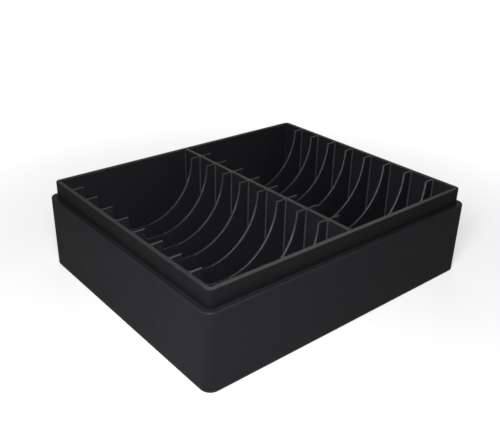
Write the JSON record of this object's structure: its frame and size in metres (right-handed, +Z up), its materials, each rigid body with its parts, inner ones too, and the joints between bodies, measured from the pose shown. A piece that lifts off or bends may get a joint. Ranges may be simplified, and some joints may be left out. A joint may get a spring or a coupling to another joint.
{
  "type": "coin box",
  "caption": "Low open box base with a stepped lip for a lift-off lid, holding a lift-out rack: a centre divider and cross ribs with round scallops that stand coin capsules on edge.",
  "frame": {"origin": "centre of the flat underside", "axes": "+X along the long side of the box, +Y along the short side away from the front, +Z up"},
  "size_m": [0.104, 0.0862, 0.0295],
  "materials": {
    "case_plastic": "matte black, fine print layers",
    "sleeve_plastic": "matte black, fine print layers",
    "divider_plastic": "matte black, thin printed plate",
    "rib_plastic": "matte black, thin printed plates"
  },
  "bodies": {
    "box": {"outer_case": "case_plastic", "inner_sleeve": "sleeve_plastic"},
    "rack": {"centre_divider": "divider_plastic", "slot_rib_1": "rib_plastic", "slot_rib_2": "rib_plastic", "slot_rib_3": "rib_plastic", "slot_rib_4": "rib_plastic", "slot_rib_5": "rib_plastic", "slot_rib_6": "rib_plastic", "slot_rib_7": "rib_plastic", "slot_rib_8": "rib_plastic"}
  },
  "joints": [
    {"name": "rack_lift", "type": "slide", "parent": "box", "child": "rack", "axis": [0, 0, 1], "range_m": [0, 0.032]}
  ]
}
